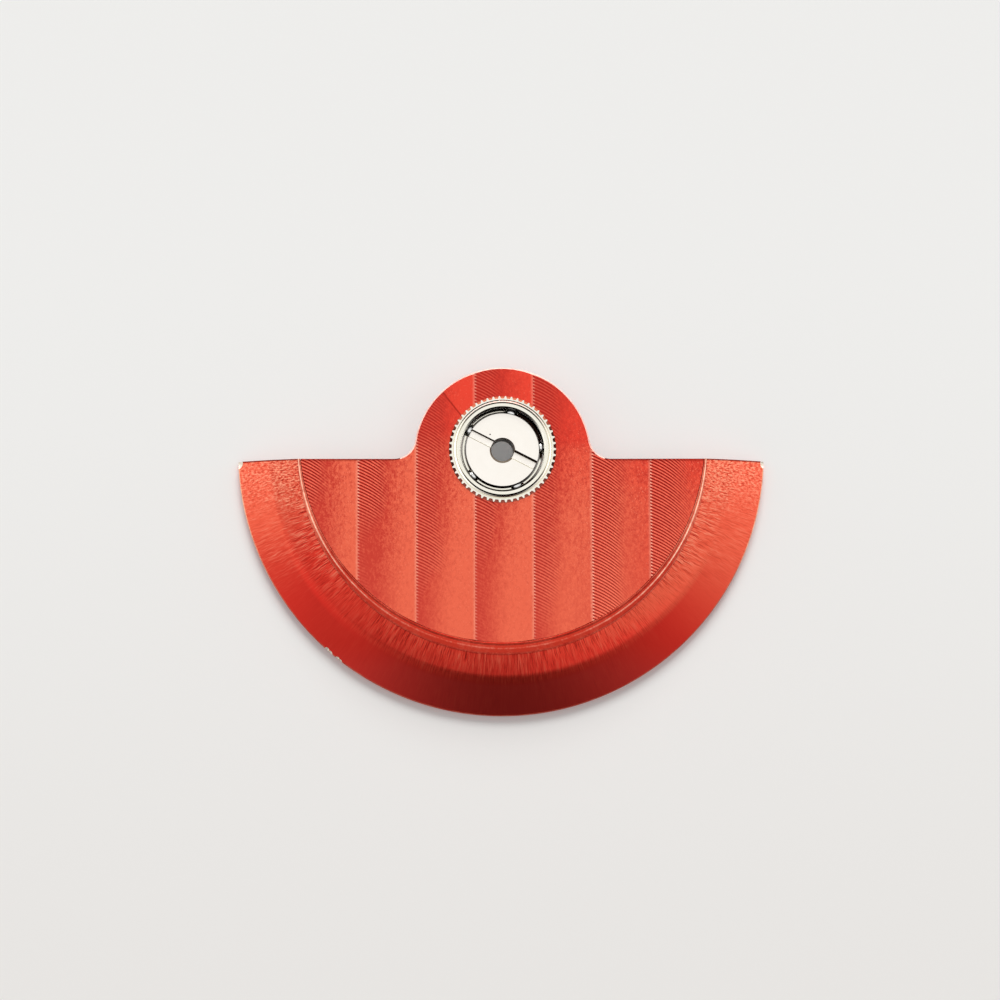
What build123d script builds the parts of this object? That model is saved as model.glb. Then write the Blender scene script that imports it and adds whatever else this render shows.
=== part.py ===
from build123d import *

import os
from math import cos, radians, sqrt, tan

# Automatic watch rotor, in millimetres and degrees
# The rotor turns about the Z axis, the striped side looks up and the round lobe points along +Y
# The origin is on that axis, in the face by which the bearing's inner ring sits on the movement

# Oscillating weight
rotor_radius = 13.3
weight_height = 1.85
weight_width = 4.0
weight_drop = 0.45
weight_edge_chamfer = 0.08

# Bevelled rim: a gentle inner slope, then a steeper one turned slightly off the axis
bevel_width = 3.02
steep_bevel_width = 1.62
inner_bevel_slope = 20.0
outer_bevel_slope = 29.0
outer_bevel_lift = 0.115

# Carrier plate
plate_thickness = 0.45
flat_setback = 0.47
lobe_radius = 4.44
lobe_setback = 0.315
lobe_fillet_radius = 1.09
plate_edge_chamfer = 0.08

# Seam between the plate and the weight, on a circle that lies slightly off the axis
seam_width = 3.15
seam_lift = 0.49
seam_clearance = 0.02
seam_chamfer = 0.04

# Broad stripes, each a shallow trough that starts with a small step down at its left edge
stripe_pitch = 2.93
stripe_shift = 0.07
stripe_depth = 0.03
stripe_step = 0.012
deepest_place_share = 0.4

# Ball bearing
ball_count = 5
ball_radius = 0.32
ball_play = 0.015
ball_cover = 0.45
race_gap = 0.24
first_ball_angle = 4.6
contact_angle = 45.0

# Outer race: its teeth set its size, and the ring inside them is measured inward
tooth_count = 54
tooth_module = 0.1
tooth_foot_share = 1.3
tooth_root_share = 0.66
tooth_flank_angle = 68.0
race_foot_height = 0.1
collar_rise = 0.12
ring_rise = 0.25
ring_step_width = 0.15
ring_width = 0.34
ring_chamfer = 0.09
opening_chamfer = 0.03
press_interference = 0.02

# Inner race: a core with the screw bore, and a slotted nut that closes the ball track
screw_bore_radius = 0.56
neck_wall_share = 0.49
seat_step_width = 0.54
seat_step_height = 0.15
nut_recess = 0.15
nut_web_thickness = 0.2
nut_hole_clearance = 0.02
nut_edge_chamfer = 0.03
nut_shoulder_gap = 0.03
slot_width = 0.325
slot_depth = 0.12
slot_angle = -27.0

# Ball cage
cage_clearance_share = 0.25
cage_top_rise = 0.25
cage_web_thickness = 0.09
pocket_clearance = 0.04
pocket_side_clearance = 0.1

# How far a cutting shape runs past what it cuts
overrun = 1.0

# Radii and heights of the weight and the plate
weight_inner_radius = rotor_radius - weight_width
bevel_top_radius = rotor_radius - bevel_width
bevel_break_radius = rotor_radius - steep_bevel_width
seam_radius = rotor_radius - seam_width
weight_bottom = -weight_drop
rotor_top = weight_bottom + weight_height
plate_bottom = rotor_top - plate_thickness

# Radii and heights of the bearing, from the teeth inward and from the plate's top down
collar_tip_radius = tooth_module * tooth_count / 2
gear_tip_radius = collar_tip_radius + tooth_module
tooth_root_radius = collar_tip_radius - tooth_foot_share * tooth_module
raised_ring_radius = tooth_root_radius - ring_step_width
opening_radius = raised_ring_radius - ring_width
flange_radius = opening_radius - race_gap
ball_pitch_radius = opening_radius - race_gap / 2
seat_radius = flange_radius - seat_step_width
collar_height = rotor_top + collar_rise
raised_ring_height = rotor_top + ring_rise
nut_height = rotor_top - nut_recess
core_height = nut_height - nut_web_thickness
ball_height = nut_height - ball_cover

# Lines of the ball track, tangent to a ball with its play, in the plane of the axis
track_offset = (ball_radius + ball_play) / cos(radians(contact_angle))
outer_groove_radius = ball_pitch_radius + track_offset
inner_groove_radius = ball_pitch_radius - track_offset
outer_lip_rise = (outer_groove_radius - opening_radius) / tan(radians(contact_angle))
inner_lip_rise = (flange_radius - inner_groove_radius) / tan(radians(contact_angle))
thread_radius = screw_bore_radius + neck_wall_share * (inner_groove_radius - screw_bore_radius)
nut_hole_radius = screw_bore_radius + nut_hole_clearance

os.makedirs("parts", exist_ok=True)


def save(piece, name):
    piece.part.label = name
    export_step(piece.part, f"parts/{name}.step")


def toothed_outline(tip_radius):
    """Add to the sketch at hand a disc with a ring of teeth that reach the given radius."""
    tooth_pitch = 2 * tooth_root_radius * tan(radians(180 / tooth_count))
    tooth_base_radius = tooth_root_radius * cos(radians(180 / tooth_count))
    tooth_height = tip_radius - tooth_base_radius
    Circle(tooth_root_radius)
    with PolarLocations(tooth_base_radius + tooth_height / 2, tooth_count):
        Trapezoid(tooth_pitch * tooth_root_share, tooth_height, tooth_flank_angle, rotation=-90)


# Carrier plate: the outline runs from the right end of the seam round the lobe and back along the seam
seam_centre_y = seam_lift
seam_end_x = sqrt(seam_radius**2 - (seam_centre_y + flat_setback) ** 2)
lobe_centre_y = -lobe_setback
fillet_centre_y = lobe_fillet_radius - flat_setback
fillet_reach = lobe_radius + lobe_fillet_radius
fillet_centre_x = sqrt(fillet_reach**2 - (fillet_centre_y - lobe_centre_y) ** 2)
lobe_touch_share = lobe_radius / fillet_reach
lobe_touch_x = fillet_centre_x * lobe_touch_share
lobe_touch_y = lobe_centre_y + (fillet_centre_y - lobe_centre_y) * lobe_touch_share
right_fillet_start = (fillet_centre_x, -flat_setback)
left_fillet_start = (-fillet_centre_x, -flat_setback)
right_touch = (lobe_touch_x, lobe_touch_y)
left_touch = (-lobe_touch_x, lobe_touch_y)
right_end = (seam_end_x, -flat_setback)
left_end = (-seam_end_x, -flat_setback)
lobe_top = (0, lobe_centre_y + lobe_radius)
seam_bottom = (0, seam_centre_y - seam_radius)

with BuildPart() as carrier_plate:
    with BuildSketch(Plane.XY.offset(plate_bottom)):
        with BuildLine():
            Line(right_end, right_fillet_start)
            TangentArc(right_fillet_start, right_touch, tangent=(-1, 0))
            ThreePointArc(right_touch, lobe_top, left_touch)
            TangentArc(left_fillet_start, left_touch, tangent=(1, 0))
            Line(left_fillet_start, left_end)
            ThreePointArc(left_end, seam_bottom, right_end)
        make_face()
    extrude(amount=plate_thickness)
    top_edges = carrier_plate.faces().sort_by(Axis.Z)[-1].edges()
    seam_edge = top_edges.sort_by(Axis.Y)[0]
    chamfer(seam_edge, length=seam_chamfer)
    free_edges = carrier_plate.faces().sort_by(Axis.Z)[-1].edges().sort_by(Axis.Y)[1:]
    chamfer(free_edges, length=plate_edge_chamfer)
    with BuildSketch(Plane.XY.offset(plate_bottom)):
        Circle(collar_tip_radius - press_interference)
    extrude(amount=plate_thickness, mode=Mode.SUBTRACT)
    stripe_side_count = int(seam_radius / stripe_pitch) + 1
    with BuildSketch(Plane.XZ.offset(-lobe_radius)):
        for stripe in range(-stripe_side_count, stripe_side_count + 1):
            stripe_left = stripe_shift + (stripe - 1 / 2) * stripe_pitch
            stripe_right = stripe_left + stripe_pitch
            stripe_floor = stripe_left + deepest_place_share * stripe_pitch
            with BuildLine():
                ThreePointArc(
                    (stripe_left, rotor_top - stripe_step),
                    (stripe_floor, rotor_top - stripe_depth),
                    (stripe_right, rotor_top),
                )
                Polyline(
                    (stripe_right, rotor_top),
                    (stripe_right, rotor_top + stripe_depth),
                    (stripe_left, rotor_top + stripe_depth),
                    (stripe_left, rotor_top - stripe_step),
                )
            make_face()
    extrude(amount=lobe_radius + rotor_radius, mode=Mode.SUBTRACT)
save(carrier_plate, "carrier_plate")

# Oscillating weight: a half ring with a rebate for the plate and the bevelled rim
bevel_break_height = rotor_top - (bevel_break_radius - bevel_top_radius) * tan(radians(inner_bevel_slope))
cutter_radius = rotor_radius + overrun

with BuildPart() as weight_segment:
    with BuildSketch(Plane.XY.offset(weight_bottom)):
        Circle(rotor_radius)
        Circle(weight_inner_radius, mode=Mode.SUBTRACT)
        with Locations((0, -flat_setback)):
            Rectangle(
                2 * cutter_radius,
                cutter_radius + flat_setback,
                align=(Align.CENTER, Align.MIN),
                mode=Mode.SUBTRACT,
            )
    extrude(amount=weight_height)
    chamfer(weight_segment.faces().sort_by(Axis.Z)[0].edges(), length=weight_edge_chamfer)
    with BuildSketch(Plane.XY.offset(plate_bottom)):
        with Locations((0, seam_centre_y)):
            Circle(seam_radius + seam_clearance)
    extrude(amount=plate_thickness, mode=Mode.SUBTRACT)
    rebate_edge = weight_segment.faces().sort_by(Axis.Z)[-1].edges().filter_by(GeomType.CIRCLE)
    chamfer(rebate_edge.sort_by(SortBy.RADIUS)[0], length=seam_chamfer)
    with BuildSketch(Plane.XZ):
        with BuildLine():
            inner_bevel_fall = (cutter_radius - bevel_top_radius) * tan(radians(inner_bevel_slope))
            Polyline(
                (bevel_top_radius, rotor_top),
                (cutter_radius, rotor_top),
                (cutter_radius, rotor_top - inner_bevel_fall),
                close=True,
            )
        make_face()
    revolve(axis=Axis.Z, mode=Mode.SUBTRACT)
    with BuildSketch(Plane.XZ.offset(-outer_bevel_lift)):
        with BuildLine():
            steep_start_radius = bevel_break_radius - overrun
            steep_start_height = bevel_break_height + overrun * tan(radians(outer_bevel_slope))
            steep_fall = (cutter_radius - steep_start_radius) * tan(radians(outer_bevel_slope))
            Polyline(
                (steep_start_radius, steep_start_height),
                (cutter_radius, steep_start_height),
                (cutter_radius, steep_start_height - steep_fall),
                close=True,
            )
        make_face()
    revolve(axis=Axis((0, outer_bevel_lift, 0), (0, 0, 1)), mode=Mode.SUBTRACT)
save(weight_segment, "weight_segment")

# Outer race: the toothed drive gear below the plate, the toothed collar in it and the smooth ring on top
with BuildPart() as toothed_outer_race:
    with BuildSketch(Plane.XY.offset(race_foot_height)):
        toothed_outline(gear_tip_radius)
    extrude(amount=plate_bottom - race_foot_height)
    with BuildSketch(Plane.XY.offset(plate_bottom)):
        toothed_outline(collar_tip_radius)
    extrude(amount=collar_height - plate_bottom)
    with BuildSketch(Plane.XY.offset(collar_height)):
        Circle(raised_ring_radius)
    extrude(amount=raised_ring_height - collar_height)
    chamfer(toothed_outer_race.faces().sort_by(Axis.Z)[-1].edges(), length=ring_chamfer)
    with BuildSketch(Plane.XZ):
        with BuildLine():
            Polyline(
                (0, race_foot_height),
                (opening_radius, race_foot_height),
                (opening_radius, ball_height - outer_lip_rise),
                (outer_groove_radius, ball_height),
                (opening_radius, ball_height + outer_lip_rise),
                (opening_radius, raised_ring_height - opening_chamfer),
                (opening_radius + opening_chamfer, raised_ring_height),
                (0, raised_ring_height),
                close=True,
            )
        make_face()
    revolve(axis=Axis.Z, mode=Mode.SUBTRACT)
save(toothed_outer_race, "toothed_outer_race")

# Inner race, lower half: the seat on the movement, the lower half of the ball track and the threaded neck
shoulder_height = ball_height - nut_shoulder_gap
shoulder_radius = inner_groove_radius + nut_shoulder_gap * tan(radians(contact_angle))

with BuildPart() as inner_race_core:
    with BuildSketch(Plane.XZ):
        with BuildLine():
            Polyline(
                (screw_bore_radius, 0),
                (seat_radius, 0),
                (seat_radius, seat_step_height),
                (flange_radius, seat_step_height),
                (flange_radius, ball_height - inner_lip_rise),
                (shoulder_radius, shoulder_height),
                (thread_radius, shoulder_height),
                (thread_radius, core_height),
                (screw_bore_radius, core_height),
                close=True,
            )
        make_face()
    revolve(axis=Axis.Z)
save(inner_race_core, "inner_race_core")

# Inner race, upper half: the round nut whose web rests on the neck, with the screwdriver slot across it
with BuildPart() as slotted_race_nut:
    with BuildSketch(Plane.XZ):
        with BuildLine():
            Polyline(
                (thread_radius, ball_height),
                (inner_groove_radius, ball_height),
                (flange_radius, ball_height + inner_lip_rise),
                (flange_radius, nut_height - nut_edge_chamfer),
                (flange_radius - nut_edge_chamfer, nut_height),
                (nut_hole_radius, nut_height),
                (nut_hole_radius, core_height),
                (thread_radius, core_height),
                close=True,
            )
        make_face()
    revolve(axis=Axis.Z)
    with BuildSketch(Plane.XY.offset(nut_height)):
        Rectangle(2 * (flange_radius + slot_width), slot_width, rotation=slot_angle)
    extrude(amount=-slot_depth, mode=Mode.SUBTRACT)
save(slotted_race_nut, "slotted_race_nut")

# Ball cage: a thin crown with a pocket, open at the top, for each ball
pocket_floor = ball_height - ball_radius - pocket_clearance
cage_bottom = pocket_floor - cage_web_thickness
cage_top = ball_height + cage_top_rise

cage_clearance = cage_clearance_share * race_gap

with BuildPart() as ball_cage:
    with BuildSketch(Plane.XY.offset(cage_bottom)):
        Circle(opening_radius - cage_clearance)
        Circle(flange_radius + cage_clearance, mode=Mode.SUBTRACT)
    extrude(amount=cage_top - cage_bottom)
    with Locations((0, 0, pocket_floor)):
        with PolarLocations(ball_pitch_radius, ball_count, start_angle=first_ball_angle):
            Box(
                2 * ball_radius,
                2 * (ball_radius + pocket_side_clearance),
                cage_top - pocket_floor,
                align=(Align.CENTER, Align.CENTER, Align.MIN),
                mode=Mode.SUBTRACT,
            )
save(ball_cage, "ball_cage")

# Balls, one in each pocket
for ball_number, place in enumerate(
    PolarLocations(ball_pitch_radius, ball_count, start_angle=first_ball_angle), start=1
):
    with BuildPart() as ball:
        with Locations((place.position.X, place.position.Y, ball_height)):
            Sphere(ball_radius)
    save(ball, f"ball_{ball_number}")
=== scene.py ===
from math import atan2, cos, hypot, pi, radians, sin, sqrt, tan

import bpy
from mathutils import Matrix, Vector


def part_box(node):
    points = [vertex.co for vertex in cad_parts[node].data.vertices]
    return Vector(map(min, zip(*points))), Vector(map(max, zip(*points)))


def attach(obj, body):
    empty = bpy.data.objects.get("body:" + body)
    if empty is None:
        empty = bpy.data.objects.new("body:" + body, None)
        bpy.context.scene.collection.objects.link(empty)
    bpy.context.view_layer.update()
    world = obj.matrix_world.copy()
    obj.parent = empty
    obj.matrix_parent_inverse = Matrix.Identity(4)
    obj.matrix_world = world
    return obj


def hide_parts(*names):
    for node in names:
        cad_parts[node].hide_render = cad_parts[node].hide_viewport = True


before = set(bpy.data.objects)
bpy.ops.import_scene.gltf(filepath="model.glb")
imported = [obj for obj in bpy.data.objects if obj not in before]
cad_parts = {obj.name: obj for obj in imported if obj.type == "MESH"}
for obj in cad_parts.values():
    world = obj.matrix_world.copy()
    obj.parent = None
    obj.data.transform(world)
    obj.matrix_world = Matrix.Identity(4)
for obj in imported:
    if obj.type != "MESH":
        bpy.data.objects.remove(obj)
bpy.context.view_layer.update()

mm = 0.001

# What the CAD nodes say, in millimetres
weightLow, weightHigh = (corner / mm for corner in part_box("weight_segment"))
plateLow, plateHigh = (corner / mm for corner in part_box("carrier_plate"))
raceLow, raceHigh = (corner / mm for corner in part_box("toothed_outer_race"))
coreLow, coreHigh = (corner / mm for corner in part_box("inner_race_core"))
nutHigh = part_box("slotted_race_nut")[1] / mm
cageLow, cageHigh = (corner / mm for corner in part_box("ball_cage"))
rimRadius = -weightLow.y
rotorTop = weightHigh.z
print("frame loaded, rotor radius", round(rimRadius, 3), "mm")


# Modelling helpers: every piece is built in metres with its place in its mesh

def clearSelection():
    if bpy.context.mode != "OBJECT":
        leaveEdit()
    bpy.ops.object.select_all(action="DESELECT")


def selectOnly(piece):
    clearSelection()
    piece.select_set(True)
    bpy.context.view_layer.objects.active = piece


def openEdit(kind="VERT", action="SELECT"):
    # Edit mode on the active piece, with all of it selected or nothing
    bpy.ops.object.mode_set(mode="EDIT")
    bpy.ops.mesh.select_mode(type=kind)
    bpy.ops.mesh.select_all(action=action)


def leaveEdit():
    bpy.ops.object.mode_set(mode="OBJECT")


def pick(piece, kind, wanted):
    # Opens edit mode with the vertices, edges or faces selected for which wanted() holds
    selectOnly(piece)
    openEdit(kind, "DESELECT")
    leaveEdit()
    points = [vertex.co / mm for vertex in piece.data.vertices]
    if kind == "FACE":
        for face in piece.data.polygons:
            face.select = wanted(face.center / mm, face.normal)
    elif kind == "EDGE":
        for edge in piece.data.edges:
            edge.select = wanted(points[edge.vertices[0]], points[edge.vertices[1]])
    else:
        for vertex, point in zip(piece.data.vertices, points):
            vertex.select = wanted(point)
    bpy.ops.object.mode_set(mode="EDIT")


def turnShape(name, sides, loops):
    # A turned ring: each loop is its radius, height and, if any, shift towards +Y and tilt about X in radians
    loops = [(*loop, 0.0, 0.0)[:4] for loop in loops]
    clearSelection()
    bpy.ops.mesh.primitive_circle_add(vertices=sides, radius=loops[0][0] * mm)
    piece = bpy.context.object
    piece.name = piece.data.name = name
    openEdit()
    bpy.ops.transform.translate(value=(0, loops[0][2] * mm, loops[0][1] * mm))
    for last, loop in zip(loops, loops[1:]):
        radius, height, shift, tilt = loop
        centre = (0, shift * mm, height * mm)
        step = (0, (shift - last[2]) * mm, (height - last[1]) * mm)
        bpy.ops.mesh.extrude_region_move(TRANSFORM_OT_translate={"value": step})
        growth = radius / last[0]
        if growth != 1:
            bpy.ops.transform.resize(value=(growth, growth, growth), center_override=centre)
        if tilt != last[3]:
            bpy.ops.transform.rotate(value=last[3] - tilt, orient_axis="X", center_override=centre)
    leaveEdit()
    total = len(piece.data.vertices)
    ends = [index < sides or index >= total - sides for index in range(total)]
    for vertex, chosen in zip(piece.data.vertices, ends):
        vertex.select = chosen
    for edge in piece.data.edges:
        edge.select = all(ends[index] for index in edge.vertices)
    bpy.ops.object.mode_set(mode="EDIT")
    bpy.ops.mesh.select_mode(type="EDGE")
    bpy.ops.mesh.bridge_edge_loops()
    bpy.ops.mesh.select_all(action="SELECT")
    bpy.ops.mesh.normals_make_consistent(inside=False)
    leaveEdit()
    return piece


def rod(sides, radius, length, place, turn=(0, 0, 0)):
    # A round cutter or filler about its middle, along Z unless it is turned
    clearSelection()
    bpy.ops.mesh.primitive_cylinder_add(
        vertices=sides, radius=radius * mm, depth=length * mm,
        location=[value * mm for value in place], rotation=turn,
    )
    bpy.ops.object.transform_apply()
    return bpy.context.object


def column(sides, radius, low, high, centre=(0, 0)):
    return rod(sides, radius, high - low, (*centre, (low + high) / 2))


def fromAxis(point, shift=0.0):
    # Distance from the rotor's axis, or from one that is shifted towards +Y
    return hypot(point.x, point.y - shift)


def sliceOff(piece, place, normal):
    # Cuts away what lies on the normal's side of a plane and closes the cut
    selectOnly(piece)
    openEdit()
    bpy.ops.mesh.bisect(
        plane_co=tuple(value * mm for value in place), plane_no=normal,
        use_fill=True, clear_outer=True, threshold=1e-7,
    )
    leaveEdit()


def combine(piece, other, operation, keepFinish=False):
    selectOnly(piece)
    joint = piece.modifiers.new(operation.lower(), "BOOLEAN")
    joint.operation = operation
    joint.solver = "EXACT"
    joint.object = other
    if keepFinish:
        joint.material_mode = "TRANSFER"
    bpy.ops.object.modifier_apply(modifier=joint.name)
    bpy.data.objects.remove(other)


def clean(piece):
    # Merges the slivers that cutting leaves
    sliver = 0.003 * mm
    selectOnly(piece)
    openEdit()
    bpy.ops.mesh.remove_doubles(threshold=sliver)
    bpy.ops.mesh.dissolve_degenerate(threshold=sliver)
    leaveEdit()


def chamferPicked(width):
    # Chamfers the edges that pick() has selected
    bpy.ops.mesh.bevel(offset=width * mm, offset_type="OFFSET", segments=1, affect="EDGES")
    leaveEdit()


def soften(piece, angle):
    selectOnly(piece)
    bpy.ops.object.shade_smooth_by_angle(angle=radians(angle))


def giveFinishes(piece, *finishes):
    for finish in finishes:
        piece.data.materials.append(finish)


def markFaces(piece, finish, wanted):
    # Gives one of the piece's finishes to the faces for which wanted() holds
    pick(piece, "FACE", wanted)
    piece.active_material_index = piece.data.materials.find(finish.name)
    bpy.ops.object.material_slot_assign()
    leaveEdit()


def dress(piece, finish, body, slotName, *nodes):
    if not piece.data.materials:
        piece.data.materials.append(finish)
    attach(piece, body)
    if nodes:
        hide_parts(*nodes)


# Shader helpers

class Wire:
    # A socket that shader sums can be written with
    def __init__(self, finish, socket):
        self.finish = finish
        self.socket = socket

    def __add__(self, other):
        return self.finish.maths("ADD", self, other)

    def __radd__(self, other):
        return self.finish.maths("ADD", other, self)

    def __sub__(self, other):
        return self.finish.maths("SUBTRACT", self, other)

    def __rsub__(self, other):
        return self.finish.maths("SUBTRACT", other, self)

    def __mul__(self, other):
        return self.finish.maths("MULTIPLY", self, other)

    def __rmul__(self, other):
        return self.finish.maths("MULTIPLY", other, self)

    def __truediv__(self, other):
        return self.finish.maths("DIVIDE", self, other)

    def __rtruediv__(self, other):
        return self.finish.maths("DIVIDE", other, self)

    def __neg__(self):
        return self.finish.maths("MULTIPLY", self, -1.0)

    def __lt__(self, other):
        return self.finish.maths("LESS_THAN", self, other)

    def __gt__(self, other):
        return self.finish.maths("GREATER_THAN", self, other)


class Finish:
    # A material or the world, with its nodes
    def __init__(self, owner):
        owner.use_nodes = True
        self.owner = owner
        self.tree = owner.node_tree
        self.tree.nodes.clear()

    def add(self, kind, settings, sockets=(), out=0):
        # One node: its type, its settings, the values or links of its sockets, and which output is used
        node = self.tree.nodes.new(kind)
        for key, value in settings.items():
            if key == "interpolation":
                node.color_ramp.interpolation = value
            elif key == "stops":
                ramp = node.color_ramp
                while len(ramp.elements) < len(value):
                    ramp.elements.new(0.5)
                for element, (place, colour) in zip(ramp.elements, value):
                    element.position = place
                    element.color = colour
            else:
                setattr(node, key, value)
        pairs = sockets.items() if isinstance(sockets, dict) else enumerate(sockets)
        for key, value in pairs:
            if isinstance(value, Wire):
                self.tree.links.new(value.socket, node.inputs[key])
            else:
                node.inputs[key].default_value = value
        return None if out is None else Wire(self, node.outputs[out])

    def split(self, kind, value):
        # The three outputs of a node that separates a colour or a vector
        outputs = self.add(kind, {}, [value]).socket.node.outputs
        return [Wire(self, output) for output in outputs]

    def maths(self, operation, *values):
        return self.add("ShaderNodeMath", {"operation": operation}, values)

    def clamp(self, value):
        return self.add("ShaderNodeClamp", {}, [value])

    def ease(self, value, low, high):
        # 0 below low and 1 above high, with a smooth change between them; low may be above high
        settings = {"interpolation_type": "SMOOTHSTEP"}
        return self.add("ShaderNodeMapRange", settings, [value, low, high, 0.0, 1.0])

    def blend(self, share, first, second):
        # Mixes two colours
        return self.add("ShaderNodeMix", {"data_type": "RGBA"}, {0: share, 6: first, 7: second}, out=2)

    def noise(self, x, y, z, detail=2.0, roughness=0.5, scale=1.0):
        return self.add("ShaderNodeTexNoise", {}, {
            "Vector": self.add("ShaderNodeCombineXYZ", {}, [x, y, z]),
            "Scale": scale, "Detail": detail, "Roughness": roughness,
        })

    def millimetres(self):
        # x, y and z of the piece's own coordinates
        place = self.add("ShaderNodeTexCoord", {}, out="Object")
        scaled = self.add("ShaderNodeVectorMath", {"operation": "SCALE"}, {"Vector": place, "Scale": 1 / mm})
        return self.split("ShaderNodeSeparateXYZ", scaled)

    def polar(self, x, y):
        # Distance from the axis and angle about it
        return self.maths("SQRT", x * x + y * y), self.maths("ARCTAN2", y, x)

    def surface(self, colour, metallic, roughness, marks, depth):
        # The marks are a height, 1 of which stands for so many millimetres
        bump = self.add("ShaderNodeBump", {}, {"Strength": 1.0, "Distance": depth * mm, "Height": marks})
        shader = self.add("ShaderNodeBsdfPrincipled", {}, {
            "Base Color": colour, "Metallic": metallic, "Roughness": roughness, "Normal": bump,
        })
        self.add("ShaderNodeOutputMaterial", {}, {"Surface": shader}, out=None)
        return self.owner


def newFinish(name):
    return Finish(bpy.data.materials.new(name))


def rgb(red, green, blue):
    # An sRGB colour of 0 to 255 as linear light
    def line(value):
        share = value / 255
        return share / 12.92 if share <= 0.04045 else ((share + 0.055) / 1.055) ** 2.4
    return line(red), line(green), line(blue), 1.0


# Finishes

stripes = {"pitch": 2.93, "shift": 0.07}        # the plate's broad stripes, in its shape and in its finish
# How the cutter's marks lie on each stripe, from left to right: how far down they reach, strength, width
stripeMarks = [
    (2.8, 1.0, 0.58), (3.5, 1.0, 0.56), (6.4, 0.68, 0.52), (4.9, 0.68, 0.52),
    (8.0, 0.62, 0.52), (9.8, 1.0, 0.70), (9.8, 1.0, 0.78),
]
plateLook = {
    "markGap": 0.16,                            # between the cutter's marks
    "markRadius": 4.6, "markOffset": 1.65,      # each mark is an arc whose centre lies left of its stripe
    "deep": rgb(197, 61, 49), "deepLow": rgb(202, 68, 55), "bright": rgb(233, 105, 78),
    "lobeDeep": rgb(190, 51, 42), "lobeBright": rgb(229, 70, 53),
    "spark": rgb(252, 158, 128), "tick": rgb(255, 196, 170),
    "markDark": rgb(122, 10, 8), "markLight": rgb(246, 122, 98),
    # Where the cutter slipped on the lobe: a place on the line, its turn, and the bounds of what it marred
    "slip": (-2.96, 2.85), "slipTurn": -52.0, "slipRight": -1.405, "slipLow": 1.2,
    "roughness": 0.36,
}


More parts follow.
